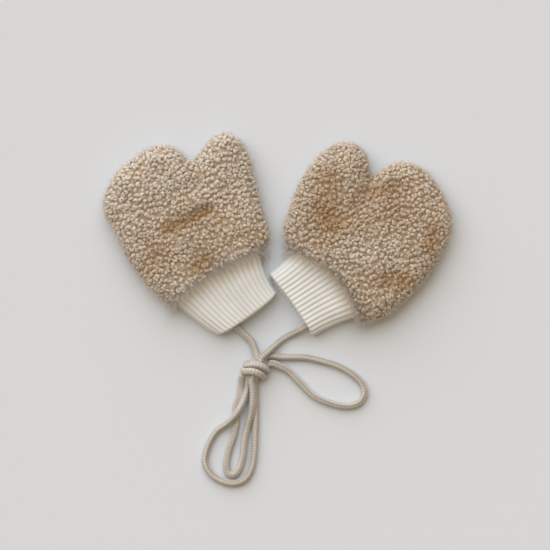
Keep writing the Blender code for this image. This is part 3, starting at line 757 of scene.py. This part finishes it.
def curled_tubes(place, normal, room, pile, seed):
    """Short curled tubes, one standing at each place: all their points as one array, and each point's height.

    A tube's middle line is about one turn of a flat spiral: (r·cos a, r·sin a) with r = curl·(1 - k·t²),
    rising a little along an axis that leans away from the cloth's own direction. Round it runs a circle that
    is lumpy along the tube and closes in at both ends. Each curl is then moved so that its top fills the
    room, and its foot is still in the backing.
    """
    rng = np.random.default_rng(seed)
    count = len(place)

    def pick(low, high):
        return rng.uniform(low, high, count)[:, None]

    across = unit(np.cross(normal, unit(rng.normal(size=(count, 3)))))
    beside = np.cross(normal, across)
    lean = np.radians(rng.uniform(*LOOP_LEAN, count))[:, None]
    axis = np.cos(lean) * normal + np.sin(lean) * across
    first = np.cos(lean) * across - np.sin(lean) * normal
    along = np.linspace(0.0, 1.0, pile.steps)[None]
    angle = pick(0.0, 2 * np.pi) + 2 * np.pi * pick(*LOOP_TURNS) * along * np.sign(pick(-1.0, 1.0))
    size = pile.curl * pick(*LOOP_SIZE) * (1.0 - SPIRAL_IN * along ** 2)
    wide, narrow = size * pick(*LOOP_WIDE), size * pick(*LOOP_NARROW)
    rise = pile.radius * pick(*LOOP_RISE) * (along - 0.5)
    line = (
        place[:, None] + (wide * np.cos(angle))[..., None] * first[:, None]
        + (narrow * np.sin(angle))[..., None] * beside[:, None] + rise[..., None] * axis[:, None]
    )
    ahead = unit(np.gradient(line, axis=1))
    side = unit(np.cross(ahead, axis[:, None]) + NUDGE)
    up = np.cross(side, ahead)
    turn = 2 * np.pi * np.arange(pile.sides) / pile.sides
    lump = 1.0 + LUMP_HEIGHT * np.sin(pick(*LUMP_PHASE) + pick(*LUMP_WAVES) * along)
    ends = np.maximum(np.sqrt(1.0 - (2.0 * along - 1.0) ** END_POWER), END_THICKNESS)
    thick = pile.radius * pick(*LOOP_THICK) * lump * ends
    ring = np.cos(turn)[:, None] * side[:, :, None] + np.sin(turn)[:, None] * up[:, :, None]
    points = line[:, :, None] + thick[..., None, None] * ring
    stands = ((points - place[:, None, None]) * normal[:, None, None]).sum(-1)
    highest, lowest = stands.max(axis=(1, 2)), stands.min(axis=(1, 2))
    lift = np.minimum(room * rng.uniform(*LOOP_FILL, count) - highest, -LOOP_FOOT - lowest)
    points += (lift[:, None] * normal)[:, None, None]
    return points, stands + lift[:, None, None]


def tube_faces(count, steps, sides):
    """Quads along each of many tubes, and a cap at each of their ends."""
    wall = grid_faces(steps, sides)
    caps = np.array([np.arange(sides)[::-1], np.arange(sides) + (steps - 1) * sides])
    starts = np.arange(count)[:, None, None] * steps * sides
    return [(wall[None] + starts).reshape(-1, 4), (caps[None] + starts).reshape(-1, sides)]


def pile_of(hand, upper, seed):
    """One panel's loops, joined in one mesh that rides with its backing.

    Near the ground a height h is pressed to l·e^((h - l)/l), which stays above it.
    """
    panel = panels[hand.name, upper]
    pile = UPPER_PILE if upper else UNDER_PILE
    corners, weights = scatter(panel.outer, pile.spacing, np.random.default_rng(seed))
    wall, warm = (read_at(grid, corners, weights)[:, 0] for grid in (panel.wall, panel.warmth))
    toward = unit(read_at(panel.normal, corners, weights))
    root = read_at(panel.outer, corners, weights) - toward * (PILE_SHARE * wall)[:, None]
    points, stands = curled_tubes(root, toward, np.maximum(PILE_SHARE * wall, LEAST_ROOM), pile, seed + 1)
    low, height = PRESSED_BELOW, points[..., 2]
    points[..., 2] = np.where(height < low, low * np.exp((np.minimum(height, low) - low) / low), height)
    rng = np.random.default_rng(seed + 2)
    tone = rng.beta(TONE_SHAPE, TONE_SHAPE, len(root))[:, None, None]
    # Painted shade: darker toward each loop's foot, by its height. The tone and the spread of warmth are
    # random for each loop.
    tip = blend((stands - TIP_FROM) / TIP_SPAN)
    raised = np.clip(DEEP_SHADE + TIP_SHADE * tip + TONE_SHADE * (tone - 0.5), 0.0, 1.0)
    warm = np.clip(warm + rng.uniform(-WARMTH_SPREAD, WARMTH_SPREAD, len(root)), 0.0, 1.0)
    piece = make_piece(
        f"{panel_name(hand, upper)}_loops", points.reshape(-1, 3),
        tube_faces(len(root), pile.steps, pile.sides), finishes["boucle_pile"],
        {"raised": raised.ravel(), "warm": np.repeat(warm, pile.steps * pile.sides)},
    )
    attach(piece, "root")
    return piece


loops = {
    key: pile_of(hands[key[0]], key[1], PILE_SEED + SEED_STEP * number) for number, key in enumerate(panels)
}

# %% [markdown]
# ## The fuzz
# Fine single fibres stand out beyond the loops and make the edge of the cloth soft. A hair system would need
# its own shader and can't be exported, so each fibre is a thin bent tube with three sides, with its foot
# among the loops. There are more of them near the rim, and most at the wrist, where they are combed over the
# cuff and hide the edge of the pile.

# %% The fuzz
Fuzz = namedtuple("Fuzz", "each steps sides radius reach")
UPPER_FUZZ = Fuzz(2.4 * MM * MM, 3, 3, 0.13 * MM, 4.0 * MM)
UNDER_FUZZ = Fuzz(5.0 * MM * MM, 3, 3, 0.13 * MM, 4.0 * MM)
RIM_FUZZ, MOUTH_FUZZ, RIM_FADE = 4.0, 14.0, 3.0 * MM
FUZZ_LEAN, FUZZ_REACH, FUZZ_BEND = (5.0, 65.0), (0.6, 1.15), (-0.6, 0.6)
FUZZ_FOOT, FUZZ_TAPER, FUZZ_LOWEST = 1.5 * MM, 0.6, 0.1 * MM
COMBED_LEAN = math.radians(72.0)
COMBED_WAY, COMBED_SHARE, COMBED_REACH, COMBED_FOOT = 2.0, 0.8, 1.2, 0.7


def fuzz_of(hand, upper, seed):
    """One panel's fibres, joined in one mesh: foot + reach·(t·lean + bend·t²·beside), thinner at the tip.

    How near a place is to the rim or to the mouth is e^(-d/f). Near the mouth a fibre turns toward the cuff,
    leans over, gets longer and has its foot nearer to the surface.
    """
    panel = panels[hand.name, upper]
    rng = np.random.default_rng(seed)
    kind = UPPER_FUZZ if upper else UNDER_FUZZ
    rim, _, mouth = hand_lines(hand)
    flat = panel.outer.reshape(-1, 3)
    near_rim = np.exp(-reach_from(flat, np.vstack([rim, rim[:1]])) / RIM_FADE)
    near_mouth = np.exp(-reach_from(flat, mouth) / RIM_FADE)
    favour = 1.0 + RIM_FUZZ * near_rim + MOUTH_FUZZ * near_mouth
    corners, weights = throw_places(panel.outer, kind.each, rng, favour)
    near_mouth = read_at(near_mouth.reshape(*panel.outer.shape[:2]), corners, weights)
    to_cuff = unit(np.array([*(mouth.mean(axis=0) - palm_of(hand)), 0.0]))
    toward = unit(read_at(panel.normal, corners, weights))
    # The fibres carry the panel's painted warm shade.
    warm = read_at(panel.warmth, corners, weights)[:, 0]
    foot = read_at(panel.outer, corners, weights) - toward * FUZZ_FOOT * (1.0 - COMBED_FOOT * near_mouth)
    across = np.cross(toward, unit(rng.normal(size=foot.shape)))
    across = unit(across + COMBED_WAY * near_mouth * to_cuff)
    beside = unit(np.cross(toward, across))
    lean = np.radians(rng.uniform(*FUZZ_LEAN, len(foot)))[:, None]
    lean = lean + COMBED_SHARE * near_mouth * (COMBED_LEAN - lean)
    way = np.cos(lean) * toward + np.sin(lean) * across
    along = np.linspace(0.0, 1.0, kind.steps)[None, :, None]
    reach = kind.reach * (rng.uniform(*FUZZ_REACH, len(foot))[:, None] + COMBED_REACH * near_mouth)[..., None]
    bend = rng.uniform(*FUZZ_BEND, len(foot))[:, None, None]
    line = foot[:, None] + reach * (along * way[:, None] + bend * along ** 2 * beside[:, None])
    side = unit(np.cross(way, beside))
    turn = 2 * np.pi * np.arange(kind.sides) / kind.sides
    ring = np.cos(turn)[:, None] * side[:, None] + np.sin(turn)[:, None] * beside[:, None]
    points = line[:, :, None] + kind.radius * (1.0 - FUZZ_TAPER * along[..., None]) * ring[:, None]
    points[..., 2] = np.maximum(points[..., 2], FUZZ_LOWEST)
    piece = make_piece(
        f"{panel_name(hand, upper)}_fuzz", points.reshape(-1, 3),
        tube_faces(len(foot), kind.steps, kind.sides), finishes["boucle_pile"],
        {"raised": 1.0, "warm": np.repeat(warm, kind.steps * kind.sides)},
    )
    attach(piece, "root")
    return piece


fuzz = {
    key: fuzz_of(hands[key[0]], key[1], FUZZ_SEED + SEED_STEP * number) for number, key in enumerate(panels)
}

# %% [markdown]
# ## How much cloth the hands take
# A cutter needs the flat size of each panel. The surface could be flattened for that, but a dome this low
# needs only a little more cloth than its outline: 5 mm is added all round for what turns down to the seam.
# The cut isn't a rectangle, so its own area is given too, by the shoelace rule over the outline.

# %% The hands' cloth
TURN_DOWN = 5.0 * MM


def flat_cut(hand):
    """A panel's width, length and area when it is cut: its outline grown by how far the edge turns down."""
    rim = hand_lines(hand)[0]
    size = np.ptp(rim, axis=0) + 2 * TURN_DOWN
    x, y = rim.T
    area = abs((x * np.roll(y, -1) - y * np.roll(x, -1)).sum()) / 2
    return (float(size[0]), float(size[1])), float(area + TURN_DOWN * line_length(rim))


for hand in hands.values():
    size, area = flat_cut(hand)
    print(hand.name, "panel:", [round(side / MM) for side in size], "mm,", round(area * 1e4, 1), "cm2")

# %% [markdown]
# ## The cuffs
# A cuff is a tube of rib knitting: raised columns of stitches with sunk ones between, which makes it stretch.
# It is folded double at the hem, so its edge is a round fold with rounded corners. A bump map could draw the
# ribs, but their fine lines and the notched hem are what tells knitting from smooth cloth, so they are in the
# mesh. Each cuff is worked out as rings round a flattened tube, from the hem up into the hand. Its sunk
# columns are painted darker, as painted shade, and near the pile it is painted warmer and darker, partly as
# painted shade from the pile and partly for stray fibres of it.

# %% The cuffs' sizes, in millimetres
Cuff = namedtuple(
    "Cuff", "hem_x hem_y hem_half_width hem_turn hem_bow mouth_bow lean waist_first waist_second"
)
LEFT_CUFF = Cuff(-21.2, -58.4, 25.8, 35.4, -1.4, 5.0, 0.6, -0.9, 2.6)
RIGHT_CUFF = Cuff(9.9, -51.1, 27.1, -54.6, 1.2, 9.5, 2.6, 1.4, 1.9)
# Each row: share of the way in, spread, top, under side, side edge, and share of the ribs' depth.
CUFF_SECTIONS = (
    (0.00, 0.0, 12.0, 0.0, 5.6, 0.5), (0.05, 0.0, 12.1, 0.0, 5.6, 1.0), (0.35, 0.2, 12.6, 0.0, 6.2, 1.0),
    (0.66, 0.5, 13.6, 0.0, 7.2, 1.0), (0.87, 0.8, 14.8, 0.9, 8.4, 0.9), (0.98, 0.0, 15.0, 2.95, 9.0, 0.0),
    (1.12, 0.0, 14.9, 3.05, 9.0, 0.0),
)
print("cuffs:", len(CUFF_SECTIONS), "sections each")

# %% The cuffs' surfaces
RIBS, RIB_POINTS, RIB_DEPTH, INNER_RIB = 36, 12, 0.54 * MM, 0.6
RIB_BREADTH, STITCH_BREADTH, RIB_SMOOTH, RIB_STITCH = 1.2, 0.72, 0.80, 0.20
CUFF_WALL, CUFF_STITCH, CUFF_REACH = 2.3 * MM, 1.55 * MM, 1.12
UPPER_CUFF_ROUND, UNDER_CUFF_ROUND = 11.5 * MM, 8.0 * MM
CORNER_CUT, CORNER_REACH, CORNER_POWER = 1.5 * MM, 0.35, 8
LEAN_REACH = 0.5
MOUTH_CLEARANCE = 0.5 * MM
# Painted shade from the pile, partly for its stray fibres: how warm the cuff gets near it, and where that
# starts and spans.
PILE_SHADE_AND_FLUFF, SHADE_AND_FLUFF_FROM, SHADE_AND_FLUFF_SPAN = 0.9, 0.58, 0.42
CUFF_COLUMNS = RIBS * RIB_POINTS
SECTION_STEPS, OUTER_RINGS, INNER_RINGS, FOLD_RINGS, MEASURED_RING = 240, 92, 20, 6, 20


def rib_relief(across, along):
    """The height of 1x1 rib, 0 to 1: a broad raised column with its V stitches, and a narrow sunk one."""
    off_middle = 2.0 * np.mod(across, 1.0) - 1.0
    column = blend(RIB_BREADTH * (1.0 - np.abs(off_middle)))
    stitch = knit_relief(0.5 + 0.5 * off_middle / STITCH_BREADTH, along)
    return column * (RIB_SMOOTH + RIB_STITCH * stitch)


def cuff_ring(cuff, corners, along, inside, drawn):
    """One ring of a cuff: a flattened tube's section, moved and turned between the hem and the hand's mouth.

    The section's upper and lower sides are domes over the distance from its side edge. At the share a of the
    way in, the waist is narrower by 4a(1 - a). Along is a, and drawn is how far the hem's fold draws it in.
    """
    stops, *columns = zip(*CUFF_SECTIONS)
    *sizes, rib = (np.interp(along, stops, column) for column in columns)
    spread, top, under, edge = MM * np.array(sizes)
    share = min(along, 1.0)
    mouth_middle, hem_middle = corners.mean(axis=0), np.array([cuff.hem_x, cuff.hem_y]) * MM
    mouth_half = np.linalg.norm(corners[1] - corners[0]) / 2
    mouth_turn = math.atan2(*(corners[1] - corners[0])[::-1])
    hem_half, hem_turn = cuff.hem_half_width * MM, math.radians(cuff.hem_turn)
    turn = hem_turn + share * (mouth_turn - hem_turn)
    across_way = np.array([math.cos(turn), math.sin(turn)])
    into_way = np.array([-math.sin(turn), math.cos(turn)])
    into_way = into_way * np.sign((into_way * (mouth_middle - hem_middle)).sum())
    halfway = max(0.0, 4.0 * along * (1.0 - along)) * MM
    half = hem_half + share * (mouth_half - MOUTH_WALL - MOUTH_CLEARANCE - hem_half) + spread
    half -= halfway * (cuff.waist_first + cuff.waist_second) / 2
    middle = hem_middle + along * (mouth_middle - hem_middle)
    middle = middle + halfway * (cuff.waist_first - cuff.waist_second) / 2 * across_way
    wall = CUFF_WALL - drawn if inside else drawn
    out = half - wall
    across = -out * np.cos(np.linspace(0.0, np.pi, SECTION_STEPS))
    inset = out - np.abs(across)
    over = edge + (top - wall - edge) * dome(inset / (UPPER_CUFF_ROUND - wall))
    below = edge - (edge - under - wall) * dome(inset / (UNDER_CUFF_ROUND - wall))
    loop = np.vstack([np.column_stack([across, over]), np.column_stack([across, below])[::-1][1:]])
    walked = walk(loop)
    section = read_line(loop, walked, np.arange(CUFF_COLUMNS) / CUFF_COLUMNS * walked[-1])
    slope = np.roll(section, -1, axis=0) - np.roll(section, 1, axis=0)
    away = unit(np.column_stack([-slope[:, 1], slope[:, 0]])) * (-1.0 if inside else 1.0)
    off_middle = section[:, 0] / (hem_half + share * (mouth_half - hem_half))
    bow = (cuff.hem_bow + share * (cuff.mouth_bow - cuff.hem_bow)) * MM
    shift = bow * (1.0 - off_middle ** 2)
    shift += CORNER_CUT * max(0.0, 1.0 - along / CORNER_REACH) * off_middle ** CORNER_POWER
    shift -= cuff.lean * MM * max(0.0, 1.0 - along / LEAN_REACH) * (1.0 - section[:, 1] / top)
    length = np.linalg.norm(mouth_middle - hem_middle)
    relief = rib_relief(RIBS * np.arange(CUFF_COLUMNS) / CUFF_COLUMNS + 0.5, along * length / CUFF_STITCH)
    lowest = section[:, 1].min()
    section = section + away * (RIB_DEPTH * rib * (INNER_RIB * (relief - 1.0) if inside else relief))[:, None]
    section[:, 1] = np.maximum(section[:, 1], lowest)
    plan = middle + section[:, :1] * across_way + shift[:, None] * into_way
    return np.column_stack([plan, section[:, 1]]), relief


def make_cuff(hand, cuff):
    """A cuff's closed shell: outer rings from the hem's fold inwards, then inner rings back to the fold.

    Near the fold both sides are drawn in by w/2 - √((w/2)² - (w/2 - d)²), a half circle over the wall w.
    """
    corners = np.array([hand.outline[0], hand.outline[-1]]) * MM + palm_of(hand)
    corners = corners[np.argsort(corners[:, 0])]
    length = np.linalg.norm(corners.mean(axis=0) - np.array([cuff.hem_x, cuff.hem_y]) * MM)
    half_wall = CUFF_WALL / 2
    fold = (1.0 - np.cos(np.linspace(0.0, np.pi / 2, FOLD_RINGS))) * half_wall
    rows = []
    for inside, count in ((False, OUTER_RINGS), (True, INNER_RINGS)):
        reach = np.concatenate([fold, np.linspace(half_wall, CUFF_REACH * length, count)[1:]])
        drawn = half_wall - np.sqrt(np.maximum(0.0, half_wall ** 2 - np.maximum(0.0, half_wall - reach) ** 2))
        side = [(inside, *row) for row in zip(reach / length, drawn)]
        rows += side[:0:-1] if inside else side
    rings, reliefs = zip(*[cuff_ring(cuff, corners, along, inside, drawn) for inside, along, drawn in rows])
    points, first = np.array(rings), np.arange(CUFF_COLUMNS)
    last = first + (len(rings) - 1) * CUFF_COLUMNS
    closing = np.column_stack([last, np.roll(last, -1), np.roll(first, -1), first])
    faces = np.vstack([grid_faces(len(rings), CUFF_COLUMNS), closing])
    # Painted shade: the deep colour in the sunk columns, and the warm colour near the pile, partly for its
    # stray fibres.
    pile_shade_and_fluff = PILE_SHADE_AND_FLUFF * blend((np.array([row[1] for row in rows]) - SHADE_AND_FLUFF_FROM) / SHADE_AND_FLUFF_SPAN)
    piece = make_piece(
        f"{hand.name}_ribbed_cuff", points.reshape(-1, 3), [faces], finishes["rib_knit"],
        {"raised": np.array(reliefs).ravel(), "warm": np.repeat(pile_shade_and_fluff, CUFF_COLUMNS)},
    )
    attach(piece, "root")
    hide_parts(f"{hand.name}_cuff")


for hand, cuff in ((LEFT_HAND, LEFT_CUFF), (RIGHT_HAND, RIGHT_CUFF)):
    make_cuff(hand, cuff)

# %% [markdown]
# ## The floor and the light
# The photograph has a plain pale ground and one broad soft light from the upper left, with a warm bounce in
# the shadows. A large area light would do, but it gets weaker across the picture. A sun as wide as a window
# gives the same soft shadow everywhere, and a warm world fills it in. The two together are a little warm, so
# the ground is a little blue and comes out as neutral as in the photograph.

# %% The floor
FLOOR_COLOUR, FLOOR_ROUGHNESS, FLOOR_SPECULAR = (0.766, 0.821, 0.913), 0.9, 0.1
FLOOR_HALF, FLOOR_BELOW = 3.0, 0.0002
floor_material = bpy.data.materials.new("pale_ground")
floor_material.use_nodes = True
set_inputs(floor_material.node_tree.nodes["Principled BSDF"], {
    "Base Color": (*FLOOR_COLOUR, 1.0), "Roughness": FLOOR_ROUGHNESS, "Specular IOR Level": FLOOR_SPECULAR,
})
floor_corners = [
    (x * FLOOR_HALF, y * FLOOR_HALF, -FLOOR_BELOW) for x, y in ((-1, -1), (1, -1), (1, 1), (-1, 1))
]
floor_mesh = bpy.data.meshes.new("floor")
floor_mesh.from_pydata(floor_corners, [], [(0, 1, 2, 3)])
floor_mesh.materials.append(floor_material)
floor = add_object("floor", floor_mesh)
print("floor:", 2 * FLOOR_HALF, "m wide")

# %% The light
ROOM_COLOUR, ROOM_STRENGTH = (1.0, 0.76, 0.44), 0.36
WINDOW_COLOUR, WINDOW_ENERGY = (0.94, 0.97, 1.0), 2.85
WINDOW_ANGLE, WINDOW_WAY = math.radians(85.0), (0.4, -1.0, -0.85)
world = bpy.data.worlds.new("studio")
world.use_nodes = True
set_inputs(world.node_tree.nodes["Background"], {"Color": (*ROOM_COLOUR, 1.0), "Strength": ROOM_STRENGTH})
bpy.context.scene.world = world

window_data = bpy.data.lights.new("window", "SUN")
window_data.angle, window_data.energy, window_data.color = WINDOW_ANGLE, WINDOW_ENERGY, WINDOW_COLOUR
window = add_object("window", window_data)
window.rotation_euler = Vector(WINDOW_WAY).to_track_quat("-Z", "Y").to_euler()
bpy.context.scene.view_settings.view_transform = "Standard"
print("light:", WINDOW_ENERGY, "W/m2")
